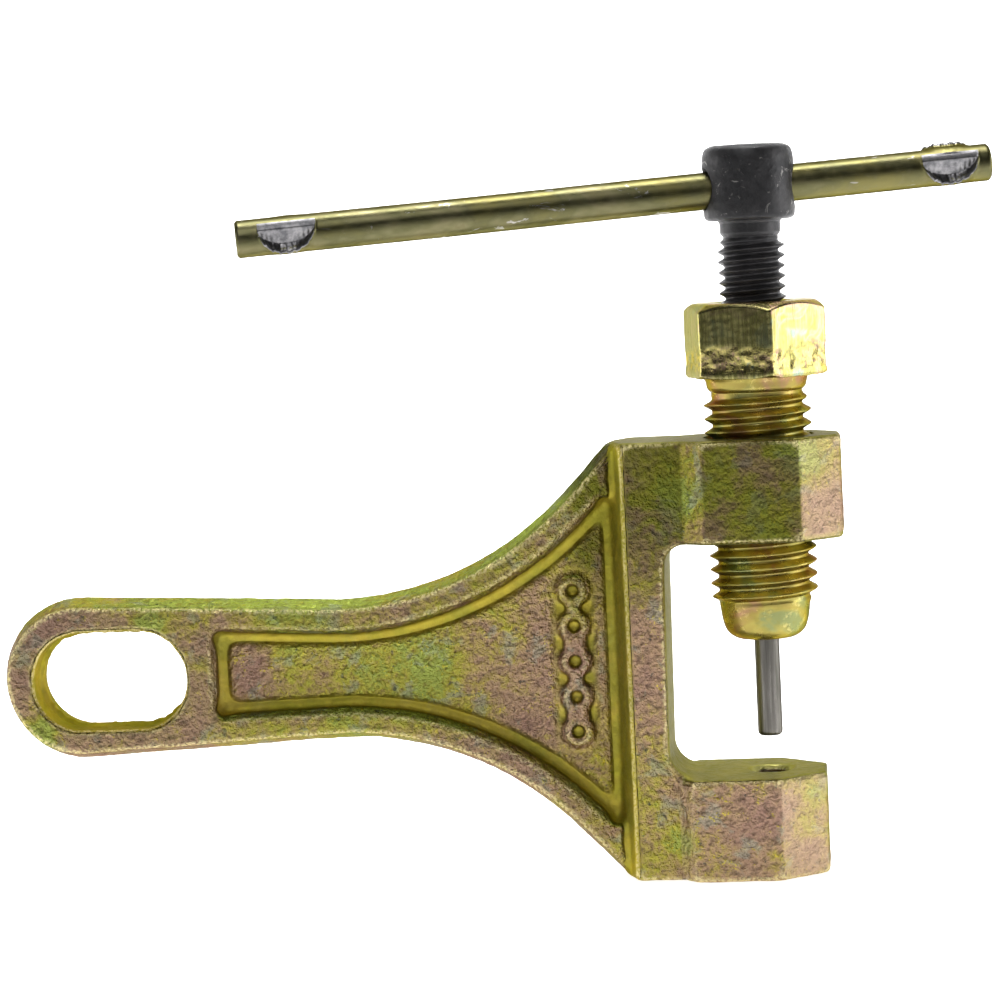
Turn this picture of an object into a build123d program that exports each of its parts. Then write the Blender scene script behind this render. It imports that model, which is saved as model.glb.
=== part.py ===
from build123d import *
import math
import os

# Chain tool: a forged C-frame with a flat handle, a hollow hex bolt that closes
# the jaw, and a T-bar screw inside the bolt that drives a push pin.
# Millimetres.  The origin is the mouth of the anvil hole, on the screw axis.
# +Z runs up the screw axis to the T-bar.  -X is the handle, +X is the jaw's
# open side, and Y is the thickness.

os.makedirs("parts", exist_ok=True)

# jaw and bosses
jaw_gap = 34.0
boss_height = 15.0
boss_half = 10.0
jaw_back_x = -14.5
jaw_top_x = -14.05
upper_jaw_radius = 3.0
lower_jaw_radius = 4.0
anvil_hole_radius = 2.9

# spine, the thick bar between the web and the jaw
spine_half = 7.5
spine_face_x = -19.9
spine_foot_x = -22.0
spine_foot_half = 2.0

# handle and web
plate_half = 4.6
plate_draft = 15.8
handle_mid_z = jaw_gap / 2
handle_end_x = -101.95
handle_end_z = 16.65
handle_end_radius = 12.15
upper_neck_x = -63.0
upper_neck_half = 10.2
lower_neck_x = -62.55
lower_neck_half = 10.55
flare_radius = 47.0
flare_angle = 46.0
slot_mid_x = -97.3
slot_mid_z = 16.5
slot_length = 23.2
slot_height = 14.6
pocket_depth = 2.6
pocket_draft = 24.0
rim_width = 4.2
pocket_end_x = -82.0
pocket_end_radius = 1.9

# raised row of chain links on the pocket floor
link_relief = 0.7
link_pitch = 5.2
link_x = -28.0

# pressure bolt: M16 x 2 outside, M10 x 1.5 inside, 19 mm hexagon
bolt_pitch = 2.0
bolt_crest = 7.8
bolt_root = 6.62
bolt_thread_low = 25.16
bolt_thread_turns = 14.4
bolt_neck_low = 54.9
bolt_head_low = 57.7
bolt_head_top = 68.5
bolt_flats = 18.8
hex_turn = -15.5
nose_end = 19.4
nose_radius = 6.45
nose_round = 2.8
bolt_bore_radius = 4.25
bolt_bore_low = 27.4

# spindle screw
screw_pitch = 1.5
screw_crest = 4.85
screw_root = 3.97
screw_tip = 47.4
screw_thread_low = 49.51
screw_thread_turns = 18.4
screw_neck_low = 78.0
screw_neck_radius = 4.4
screw_head_low = 80.2
screw_head_top = 91.3
screw_head_radius = 6.7
bar_hole_radius = 3.2
bar_hole_z = 85.0

# tommy bar
bar_radius = 2.7
bar_length = 110.0
bar_left = 74.4
bar_swing = 12.0
bar_tilt = 3.2
ear_length = 8.6
ear_depth = 2.6
ear_slope = 25.0
ear_lip = 1.4

# push pin and its return spring
pin_radius = 1.8
pin_clearance = 0.08
pin_tip = 5.0
pin_head_radius = 3.9
pin_head_low = 44.4
spring_wire = 0.4
spring_radius = 3.3
spring_turns = 6

# gap between a screw thread and its tapped hole
thread_gap = 0.14


def ridge(pitch, crest, root, turns, widen=0.0):
    """A right-hand thread ridge that starts on +X at height 0."""
    flank = math.tan(math.radians(30))
    tip_half = pitch / 16 + widen
    inner = root - 0.2
    foot_half = tip_half + flank * (crest - root + 0.1)
    with BuildPart() as coil:
        with BuildLine() as path:
            Helix(pitch=pitch, height=pitch * turns, radius=root)
        with BuildSketch(Plane.XZ):
            Polygon(
                (inner, -foot_half),
                (crest, -tip_half),
                (crest, tip_half),
                (inner, foot_half),
                align=None,
            )
        sweep(path=path.line, is_frenet=True)
    return coil.part


def half_outline(inset, neck_x, neck_half):
    """One edge of the handle and web, from the neck to the spine, moved in."""
    arc_radius = flare_radius + inset
    arc_centre = handle_mid_z + neck_half + flare_radius
    points = [(neck_x, arc_centre - arc_radius)]
    for share in (0.5, 1.0):
        angle = math.radians(flare_angle * share)
        x = neck_x + arc_radius * math.sin(angle)
        z = arc_centre - arc_radius * math.cos(angle)
        points.append((x, z))
    return points


def mirrored(points):
    """The same points on the other side of the handle's centreline."""
    return [(x, 2 * handle_mid_z - z) for x, z in points]


def straight_on(points, x):
    """Where the flare's straight end reaches a given x."""
    last_x, last_z = points[-1]
    rise = (x - last_x) * math.tan(math.radians(flare_angle))
    return (x, last_z + rise)


def touch_point(x, z):
    """Where a line from (x, z) just touches the handle's round end."""
    away_x = x - handle_end_x
    away_z = z - handle_end_z
    opening = math.acos(handle_end_radius / math.hypot(away_x, away_z))
    angle = math.atan2(away_z, away_x) + math.copysign(opening, away_z)
    touch_x = handle_end_x + handle_end_radius * math.cos(angle)
    touch_z = handle_end_z + handle_end_radius * math.sin(angle)
    return (touch_x, touch_z)


def plan(points):
    """Both halves of a plan outline that is the same on either side of Y = 0."""
    return points + [(x, -y) for x, y in reversed(points)]


# --- shapes used as cutters and ridges, made apart from the nodes ---
bolt_ridge = ridge(bolt_pitch, bolt_crest, bolt_root, bolt_thread_turns)
bolt_ridge = Rot(0, 0, 180) * bolt_ridge
screw_ridge = ridge(screw_pitch, screw_crest, screw_root, screw_thread_turns)
screw_ridge = Rot(0, 0, 180) * screw_ridge

frame_minor = bolt_root + thread_gap
frame_tap = ridge(bolt_pitch, bolt_crest + thread_gap, frame_minor, 10, 0.08)
bolt_minor = screw_root + thread_gap
bolt_tap = ridge(screw_pitch, screw_crest + thread_gap, bolt_minor, 26, 0.08)

# --- frame: forged in one piece ---
upper_plan = [(-19.0, spine_half), (-11.3, spine_half), (-7.8, boss_half)]
upper_plan += [(6.0, boss_half), (11.85, 4.0)]
lower_plan = [(-19.0, spine_half), (-13.2, spine_half), (-11.1, boss_half)]
lower_plan += [(1.4, boss_half), (8.05, 4.0)]
spine_plan = [(spine_foot_x, spine_foot_half), (spine_face_x, spine_half)]
slope_plan = spine_plan + [(-18.0, spine_half)]
spine_plan += [(jaw_back_x + 3.2, spine_half)]

with BuildPart() as frame:
    # upper boss, lower boss, and the spine that joins them
    with BuildSketch(Plane.XY.offset(jaw_gap)):
        Polygon(*plan(upper_plan), align=None)
    extrude(amount=boss_height)
    with BuildSketch(Plane.XY.offset(-boss_height)):
        Polygon(*plan(lower_plan), align=None)
    extrude(amount=boss_height)
    with BuildSketch(Plane.XY.offset(-boss_height)):
        Polygon(*plan(spine_plan), align=None)
    extrude(amount=jaw_gap + 2 * boss_height)

    # rounded outer edges of the bosses
    end_edges = frame.edges().filter_by(Axis.Z).sort_by(Axis.X)[-4:]
    fillet(end_edges, 1.0)
    fillet(frame.faces().sort_by(Axis.Z)[-1].edges(), 0.7)
    fillet(frame.faces().sort_by(Axis.Z)[0].edges(), 0.7)

    # jaw window, with a round at each inner corner
    with BuildSketch(Plane.XZ.offset(-20)) as window:
        Polygon(
            (jaw_back_x, 0),
            (45, 0),
            (45, jaw_gap),
            (jaw_top_x, jaw_gap),
            align=None,
        )
        back_corners = window.vertices().sort_by(Axis.X)[:2].sort_by(Axis.Y)
        fillet(back_corners[-1], upper_jaw_radius)
        low_corners = window.vertices().sort_by(Axis.Y)[:2].sort_by(Axis.X)
        fillet(low_corners[0], lower_jaw_radius)
    extrude(amount=40, mode=Mode.SUBTRACT)

    # handle and flared web, drafted both ways from the parting line
    edge = half_outline(0, upper_neck_x, upper_neck_half)
    corner = straight_on(edge, spine_foot_x - 0.1)
    low_half = half_outline(0, lower_neck_x, lower_neck_half)
    low_edge = mirrored(low_half)
    low_corner = mirrored([straight_on(low_half, spine_foot_x - 0.1)])[0]
    with BuildSketch(Plane.XZ):
        with BuildLine():
            end_top = touch_point(*edge[0])
            end_low = touch_point(*low_edge[0])
            end_tip = (handle_end_x - handle_end_radius, handle_end_z)
            ThreePointArc(end_low, end_tip, end_top)
            Line(end_top, edge[0])
            ThreePointArc(*edge)
            Line(edge[2], corner)
            inner_corner = (spine_face_x + 1.5, corner[1])
            inner_low = (spine_face_x + 1.5, low_corner[1])
            Line(corner, inner_corner)
            Line(inner_corner, inner_low)
            Line(inner_low, low_corner)
            Line(low_corner, low_edge[2])
            ThreePointArc(low_edge[2], low_edge[1], low_edge[0])
            Line(low_edge[0], end_low)
        make_face()
    extrude(amount=plate_half, both=True, taper=plate_draft)

    # hanging slot through the handle
    with BuildSketch(Plane.XZ.offset(-20)):
        with Locations((slot_mid_x, slot_mid_z)):
            SlotOverall(slot_length, slot_height)
    extrude(amount=40, mode=Mode.SUBTRACT)

    # a pocket in each face, with sloped walls
    rim = half_outline(rim_width, upper_neck_x, upper_neck_half)
    low_half_rim = half_outline(rim_width, lower_neck_x, lower_neck_half)
    low_rim = mirrored(low_half_rim)
    pocket_right = spine_foot_x + 1.1
    rim_start = (pocket_end_x, rim[0][1] + 0.9)
    rim_corner = straight_on(rim, pocket_right)
    low_start = (pocket_end_x, low_rim[0][1] - 0.6)
    low_rim_corner = mirrored([straight_on(low_half_rim, pocket_right)])[0]
    for side in (1, -1):
        with BuildSketch(Plane.XZ.offset(side * plate_half)) as pocket:
            with BuildLine():
                Line(low_start, rim_start)
                Line(rim_start, rim[0])
                ThreePointArc(*rim)
                Line(rim[2], rim_corner)
                Line(rim_corner, low_rim_corner)
                Line(low_rim_corner, low_rim[2])
                ThreePointArc(low_rim[2], low_rim[1], low_rim[0])
                Line(low_rim[0], low_start)
            make_face()
            fillet(pocket.vertices().sort_by(Axis.X)[-2:], 1.8)
            fillet(pocket.vertices().sort_by(Axis.X)[:2], pocket_end_radius)
        extrude(amount=-side * pocket_depth, taper=pocket_draft, mode=Mode.SUBTRACT)

    # the slope from each pocket floor and rim up to the spine's face
    with BuildSketch(Plane.XY.offset(-boss_height + 1)):
        Polygon(*plan(slope_plan), align=None)
    extrude(amount=jaw_gap + 2 * boss_height - 2)

    # raised row of chain links on each pocket floor
    floor_half = plate_half - pocket_depth
    for side in (1, -1):
        with BuildSketch(Plane.XZ.offset(side * (floor_half - 0.1))):
            for step in (-2, -1, 0, 1, 2):
                with Locations((link_x, handle_mid_z + step * link_pitch)):
                    Circle(2.15)
            for step in (-1.5, 0.5):
                with Locations((link_x, handle_mid_z + step * link_pitch)):
                    Rectangle(3.0, link_pitch)
            for step in (-0.5, 1.5):
                with Locations((link_x, handle_mid_z + step * link_pitch)):
                    Rectangle(1.8, link_pitch)
            for step in (-2, -1, 0, 1, 2):
                with Locations((link_x, handle_mid_z + step * link_pitch)):
                    Circle(0.95, mode=Mode.SUBTRACT)
        extrude(amount=side * (link_relief + 0.1))

    # anvil hole, and the tapped hole for the pressure bolt
    with Locations((0, 0, -boss_height / 2)):
        Hole(anvil_hole_radius, boss_height + 2)
    with BuildSketch(Plane.XY.offset(jaw_gap - 1)):
        Circle(frame_minor)
    extrude(amount=boss_height + 2, mode=Mode.SUBTRACT)
    with Locations((0, 0, bolt_thread_low + 3 * bolt_pitch)):
        add(Rot(0, 0, 180) * frame_tap, mode=Mode.SUBTRACT)

frame.part.label = "frame"

# --- pressure bolt: hollow, with its own tapped bore ---
with BuildPart() as pressure_bolt:
    with BuildSketch(Plane.XY.offset(nose_end)):
        Circle(nose_radius)
    extrude(amount=5.2)
    fillet(pressure_bolt.faces().sort_by(Axis.Z)[0].edges(), nose_round)
    with BuildSketch(Plane.XY.offset(24.0)):
        Circle(bolt_root)
    extrude(amount=bolt_neck_low - 24.0)
    with BuildSketch(Plane.XY.offset(bolt_neck_low)):
        Circle(7.4)
    extrude(amount=bolt_head_low - bolt_neck_low)

    # hexagon head with a chamfer at both ends
    with BuildSketch(Plane.XY.offset(bolt_head_low)):
        RegularPolygon(bolt_flats / 2, 6, major_radius=False, rotation=hex_turn)
    extrude(amount=bolt_head_top - bolt_head_low)
    corner_radius = bolt_flats / 2 / math.cos(math.radians(30))
    with BuildSketch(Plane.XZ):
        Polygon(
            (0, nose_end - 1),
            (10.2, nose_end - 1),
            (10.2, bolt_head_low),
            (corner_radius + 0.5, bolt_head_low + 0.7),
            (corner_radius + 0.5, bolt_head_top - 1.3),
            (8.9, bolt_head_top),
            (0, bolt_head_top),
            align=None,
        )
    revolve(axis=Axis.Z, mode=Mode.INTERSECT)

    # guide bore for the pin, spring bore, tapped bore and its mouth
    with BuildSketch(Plane.XY.offset(nose_end - 1)):
        Circle(pin_radius + pin_clearance)
    extrude(amount=20, mode=Mode.SUBTRACT)
    with BuildSketch(Plane.XY.offset(bolt_bore_low)):
        Circle(bolt_bore_radius)
    extrude(amount=9, mode=Mode.SUBTRACT)
    with BuildSketch(Plane.XY.offset(bolt_bore_low + 8)):
        Circle(bolt_minor)
    extrude(amount=40, mode=Mode.SUBTRACT)
    with BuildSketch(Plane.XZ):
        Polygon(
            (0, bolt_head_top - 2.9),
            (screw_crest - 0.6, bolt_head_top - 2.9),
            (screw_crest + 0.3, bolt_head_top - 2.0),
            (screw_crest + 0.3, bolt_head_top - 0.4),
            (screw_crest + 0.7, bolt_head_top + 0.1),
            (0, bolt_head_top + 0.1),
            align=None,
        )
    revolve(axis=Axis.Z, mode=Mode.SUBTRACT)
    with Locations((0, 0, screw_thread_low - 9 * screw_pitch)):
        add(Rot(0, 0, 180) * bolt_tap, mode=Mode.SUBTRACT)

    # outer thread
    with Locations((0, 0, bolt_thread_low)):
        add(bolt_ridge)

pressure_bolt.part.label = "pressure_bolt"

# --- spindle screw: M10 thread, plain neck and a round cross-drilled head ---
with BuildPart() as spindle_screw:
    with BuildSketch(Plane.XY.offset(screw_tip)):
        Circle(screw_root)
    extrude(amount=screw_neck_low - screw_tip)
    chamfer(spindle_screw.faces().sort_by(Axis.Z)[0].edges(), 0.5)
    with BuildSketch(Plane.XY.offset(screw_neck_low)):
        Circle(screw_neck_radius)
    extrude(amount=screw_head_low - screw_neck_low)
    with BuildSketch(Plane.XY.offset(screw_head_low)):
        Circle(screw_head_radius)
    extrude(amount=screw_head_top - screw_head_low)
    chamfer(spindle_screw.faces().sort_by(Axis.Z)[-1].edges(), 1.0)
    head_low_edges = spindle_screw.edges().filter_by(GeomType.CIRCLE)
    head_low_edges = head_low_edges.filter_by_position(
        Axis.Z, screw_head_low - 0.1, screw_head_low + 0.1
    )
    fillet(head_low_edges.sort_by(SortBy.RADIUS)[-1], 0.6)

    # cross hole for the bar
    swing = math.radians(bar_swing)
    hole_direction = (math.cos(swing), math.sin(swing), 0)
    hole_plane = Plane((0, 0, bar_hole_z), z_dir=hole_direction)
    with BuildSketch(hole_plane.offset(-10)):
        Circle(bar_hole_radius)
    extrude(amount=20, mode=Mode.SUBTRACT)

    # thread
    with Locations((0, 0, screw_thread_low)):
        add(screw_ridge)

spindle_screw.part.label = "spindle_screw"

# --- tommy bar: a loose sliding bar, chiselled near each end to raise stop ears ---
tilt = math.radians(bar_tilt)
bar_direction = (
    math.cos(tilt) * math.cos(swing),
    math.cos(tilt) * math.sin(swing),
    math.sin(tilt),
)
bar_plane = Plane((0, 0, bar_hole_z), z_dir=bar_direction, x_dir=(0, 0, 1))
bar_right = bar_length - bar_left
left_ear = -bar_left + 3.0 + ear_length / 2
right_ear = bar_right - 1.8 - ear_length / 2


def ear_plane(middle, turn):
    """The sloping floor of one chisel cut, on the bar's side at a given turn."""
    across = bar_plane.offset(middle).rotated((0, 0, turn))
    up = Vector(across.x_dir)
    along = Vector(across.z_dir)
    front = Vector(across.y_dir)
    slope = math.radians(ear_slope)
    start = across.origin + up * 1.0 + front * 2.5
    outward = front * math.cos(slope) - up * math.sin(slope)
    return Plane(start, x_dir=along, z_dir=outward)


def half_moon(grow):
    """Three points on the half-moon's arc, its chord along the bar."""
    half = ear_length / 2 - 0.45 + grow
    return (-half, 0), (0, -ear_depth - grow), (half, 0)


ears = [(left_ear, 0), (left_ear, 180), (right_ear, 0), (right_ear, 139)]

with BuildPart() as tommy_bar:
    with BuildSketch(bar_plane.offset(-bar_left)):
        Circle(bar_radius)
    extrude(amount=bar_length)
    chamfer(tommy_bar.edges().filter_by(GeomType.CIRCLE), 0.3)

    # each ear is a lip raised round a half-moon cut
    for middle, turn in ears:
        with BuildSketch(ear_plane(middle, turn).offset(-0.6)):
            with BuildLine():
                low, deep, high = half_moon(0.45)
                ThreePointArc(low, deep, high)
                Line(high, low)
            make_face()
        extrude(amount=0.6 + ear_lip)
    for middle, turn in ears:
        with BuildSketch(ear_plane(middle, turn)):
            with BuildLine():
                low, deep, high = half_moon(0)
                ThreePointArc(low, deep, high)
                Line(high, low)
            make_face()
        extrude(amount=4, mode=Mode.SUBTRACT)

tommy_bar.part.label = "tommy_bar"

# --- push pin: a headed pin that the screw presses down ---
with BuildPart() as push_pin:
    with BuildSketch(Plane.XY.offset(pin_tip)):
        Circle(pin_radius)
    extrude(amount=pin_head_low - pin_tip)
    chamfer(push_pin.faces().sort_by(Axis.Z)[0].edges(), 0.25)
    with BuildSketch(Plane.XY.offset(pin_head_low)):
        Circle(pin_head_radius)
    extrude(amount=screw_tip - pin_head_low)
    chamfer(push_pin.faces().sort_by(Axis.Z)[-1].edges(), 0.3)

push_pin.part.label = "push_pin"

# --- return spring: lifts the pin when the screw backs off ---
spring_low = bolt_bore_low + spring_wire + 0.02
spring_height = pin_head_low - spring_wire - 0.02 - spring_low
with BuildPart() as return_spring:
    with BuildLine(Plane.XY.offset(spring_low)) as coil_path:
        Helix(spring_height / spring_turns, spring_height, spring_radius)
    with BuildSketch(Plane.XZ):
        with Locations((spring_radius, spring_low)):
            Circle(spring_wire)
    sweep(path=coil_path.line, is_frenet=True)

return_spring.part.label = "return_spring"

for piece in (frame, pressure_bolt, spindle_screw, tommy_bar, push_pin, return_spring):
    export_step(piece.part, "parts/" + piece.part.label + ".step")
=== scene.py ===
import bpy
import math
import numpy as np
from mathutils import Matrix, Vector, noise


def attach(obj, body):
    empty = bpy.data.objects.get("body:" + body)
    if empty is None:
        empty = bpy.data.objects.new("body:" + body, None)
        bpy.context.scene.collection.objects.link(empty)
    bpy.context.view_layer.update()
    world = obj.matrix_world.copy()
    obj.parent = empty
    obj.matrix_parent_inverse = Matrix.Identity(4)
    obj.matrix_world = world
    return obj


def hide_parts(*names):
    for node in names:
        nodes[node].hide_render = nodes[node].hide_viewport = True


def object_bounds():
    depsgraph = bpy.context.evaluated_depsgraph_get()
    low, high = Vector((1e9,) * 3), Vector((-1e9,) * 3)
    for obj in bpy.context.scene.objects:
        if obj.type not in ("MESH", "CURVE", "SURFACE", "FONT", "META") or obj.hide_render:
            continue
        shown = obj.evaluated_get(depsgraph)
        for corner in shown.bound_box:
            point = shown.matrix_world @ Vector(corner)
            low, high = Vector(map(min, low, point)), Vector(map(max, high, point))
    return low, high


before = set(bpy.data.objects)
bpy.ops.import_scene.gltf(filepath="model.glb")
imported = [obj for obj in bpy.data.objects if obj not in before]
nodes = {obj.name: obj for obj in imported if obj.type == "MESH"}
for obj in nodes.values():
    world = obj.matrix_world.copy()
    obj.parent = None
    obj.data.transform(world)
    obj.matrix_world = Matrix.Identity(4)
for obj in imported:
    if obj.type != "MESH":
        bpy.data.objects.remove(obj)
cad_low, cad_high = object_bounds()
scene = bpy.context.scene

MM = 0.001

# sizes in millimetres, in the row frame
BOLT_PITCH, BOLT_CREST, BOLT_ROOT = 2.0, 7.8, 6.62
SCREW_PITCH, SCREW_CREST, SCREW_ROOT = 1.5, 4.85, 3.97
HEAD_LOW, HEAD_TOP = 57.7, 68.5
HEX_FLAT, HEX_TURN = 9.4, 14.5
HEX_FRONT, HEX_LEFT = 105.5, 165.5
CHAMFER_START, CHAMFER_SLOPE = 8.9, math.tan(math.radians(31))
BAR_Z, BAR_SWING, BAR_TILT = 85.0, 12.0, 3.2
BAR_R, BAR_LENGTH, BAR_LEFT = 2.7, 110.0, 74.4
BAR_TRIM = 0.06
VOXEL = 0.36
BORE_R, BORE_LOW = 8.05, 33.0
JAW_X, JAW_LOW, JAW_TOP = -15.3, -0.75, 34.8
SLOT_X, SLOT_Z, SLOT_HALF, SLOT_REACH = -97.3, 16.5, 4.3, 8.3
LINKS_X, LINKS_Z, LINKS_HALF_X, LINKS_HALF_Z = -30.2, 15.7, 5.2, 13.2

# colour zones of the forging's plating: x, z, size in millimetres, push toward lime
ZONES = [
    (-77.0, 17.0, 7.0, -0.22), (-56.0, 16.0, 13.0, 0.24), (-36.0, 12.0, 9.0, -0.16),
    (-91.0, 25.0, 3.0, 0.45), (-108.0, 8.5, 3.2, 0.40), (-100.0, 17.0, 14.0, -0.20),
    (-70.0, 27.0, 7.0, 0.20), (-52.0, 30.0, 6.0, -0.20), (-48.0, 3.0, 9.0, -0.15),
    (-20.0, 37.0, 6.0, 0.20), (-20.0, 14.0, 9.0, -0.22), (-22.0, 1.0, 5.0, 0.16),
    (-12.6, 40.0, 2.6, 0.42), (-12.6, -9.0, 2.2, 0.40), (-3.0, 40.0, 8.0, 0.16),
    (-3.0, -9.0, 8.0, -0.26), (6.5, 46.0, 3.4, 0.55), (9.0, 39.0, 4.5, -0.30),
    (5.8, -3.0, 2.4, 0.40), (4.6, -7.5, 2.0, 0.40), (10.0, -9.0, 2.2, 0.35),
]


# ---------------------------------------------------------------- mesh helpers
def new_object(name, verts, faces):
    mesh = bpy.data.meshes.new(name)
    mesh.from_pydata([tuple(v) for v in verts], [], faces)
    mesh.update()
    obj = bpy.data.objects.new(name, mesh)
    scene.collection.objects.link(obj)
    mesh.polygons.foreach_set("use_smooth", [True] * len(mesh.polygons))
    return obj


def read_points(mesh):
    co = np.zeros(len(mesh.vertices) * 3)
    mesh.vertices.foreach_get("co", co)
    return co.reshape(-1, 3)


def add_layer(mesh, name, values):
    """Stores one number per vertex, for the materials to read."""
    layer = mesh.attributes.new(name, "FLOAT", "POINT")
    layer.data.foreach_set("value", values.astype(np.float32))


def smoothstep(low, high, x):
    t = np.clip((np.asarray(x, float) - low) / (high - low), 0.0, 1.0)
    return t * t * (3 - 2 * t)


def tube_grid(name, points):
    """points[row, column] is a closed ring per row.  Both ends are closed with a fan."""
    rows, cols, _ = points.shape
    verts = points.reshape(-1, 3).tolist()
    faces = []
    for r in range(rows - 1):
        a, b = r * cols, (r + 1) * cols
        for c in range(cols):
            d = (c + 1) % cols
            faces.append((a + c, a + d, b + d, b + c))
    verts.append(points[0].mean(0).tolist())
    k = len(verts) - 1
    faces += [((c + 1) % cols, c, k) for c in range(cols)]
    verts.append(points[-1].mean(0).tolist())
    k = len(verts) - 1
    a = (rows - 1) * cols
    faces += [(a + c, a + (c + 1) % cols, k) for c in range(cols)]
    return new_object(name, verts, faces)


def dense_profile(corners, step=0.12):
    """Profile corners (radius, height) filled in with points about step apart."""
    out = []
    for (r0, z0), (r1, z1) in zip(corners[:-1], corners[1:]):
        n = max(1, int(math.ceil(math.hypot(r1 - r0, z1 - z0) / step)))
        for i in range(n):
            t = i / n
            out.append((r0 + (r1 - r0) * t, z0 + (z1 - z0) * t))
    out.append(corners[-1])
    return np.array(out)


def round_profile(corners, around, steps=5):
    """Rounds corners of a profile; around gives each one's index and how far the curve reaches."""
    out = []
    for i, point in enumerate(corners):
        if i not in around or i in (0, len(corners) - 1):
            out.append(point)
            continue
        p = np.array(point, float)
        a = np.array(corners[i - 1], float) - p
        b = np.array(corners[i + 1], float) - p
        size = min(around[i], 0.45 * np.linalg.norm(a), 0.45 * np.linalg.norm(b))
        a = p + a / np.linalg.norm(a) * size
        b = p + b / np.linalg.norm(b) * size
        for s in range(steps + 1):
            t = s / steps
            out.append(tuple((1 - t) ** 2 * a + 2 * t * (1 - t) * p + t * t * b))
    return out


def thread_height(z, theta, pitch, crest, root, phase):
    """Radius above the root of a right-hand thread, softly rounded."""
    turn = (z - phase) / pitch - theta / (2 * math.pi)
    away = np.abs(turn - np.round(turn)) * pitch
    raw = (crest - root) - np.maximum(away - 0.09, 0) / math.tan(math.radians(30))
    soft = 0.05
    return soft * np.logaddexp(0, raw / soft)


def lathe(name, corners, columns, step, thread=None, bumps=None):
    """Turns a profile round Z, with a thread on its root line where one is given."""
    profile = dense_profile(corners, step)
    theta = np.arange(columns) * 2 * math.pi / columns
    r = np.repeat(profile[:, :1], columns, 1)
    z = np.repeat(profile[:, 1:], columns, 1)
    t = np.repeat(theta[None, :], len(profile), 0)
    if thread:
        outer = np.abs(r - thread["root"]) < 1e-6
        inside = smoothstep(thread["low"], thread["low"] + thread["fade_low"], z)
        inside *= 1 - smoothstep(thread["high"] - thread["fade_high"], thread["high"], z)
        lift = thread_height(z, t, thread["pitch"], thread["crest"], thread["root"],
                             thread["phase"])
        r = np.where(outer, r + lift * inside, r)
    if bumps:
        r = r + bumps(r, z, t)
    points = np.stack([r * np.cos(t), r * np.sin(t), z], 2) * MM
    return tube_grid(name, points)


def wave(points, size, seed, octaves=3):
    """Seeded fractal noise, about -1 to 1, with features of a given size."""
    shift = Vector((seed * 13.7, seed * 7.1, seed * 3.3))
    scale = 1.0 / (size * MM)
    return np.array([
        noise.fractal(Vector(p) * scale + shift, 1.0, 2.0, octaves) for p in points
    ])


# ---------------------------------------------------------------- forged frame
def neighbours_mean(co, edges, count):
    """Each vertex's mean over its neighbours, for one or more values a vertex."""
    total = np.zeros_like(co)
    for k in range(co.shape[1]):
        total[:, k] += np.bincount(edges[:, 0], co[edges[:, 1], k], len(co))
        total[:, k] += np.bincount(edges[:, 1], co[edges[:, 0], k], len(co))
    return total / count[:, None]


def near_links(mm):
    return ((np.abs(mm[:, 0] - LINKS_X) < LINKS_HALF_X)
            & (np.abs(mm[:, 2] - LINKS_Z) < LINKS_HALF_Z))


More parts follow.
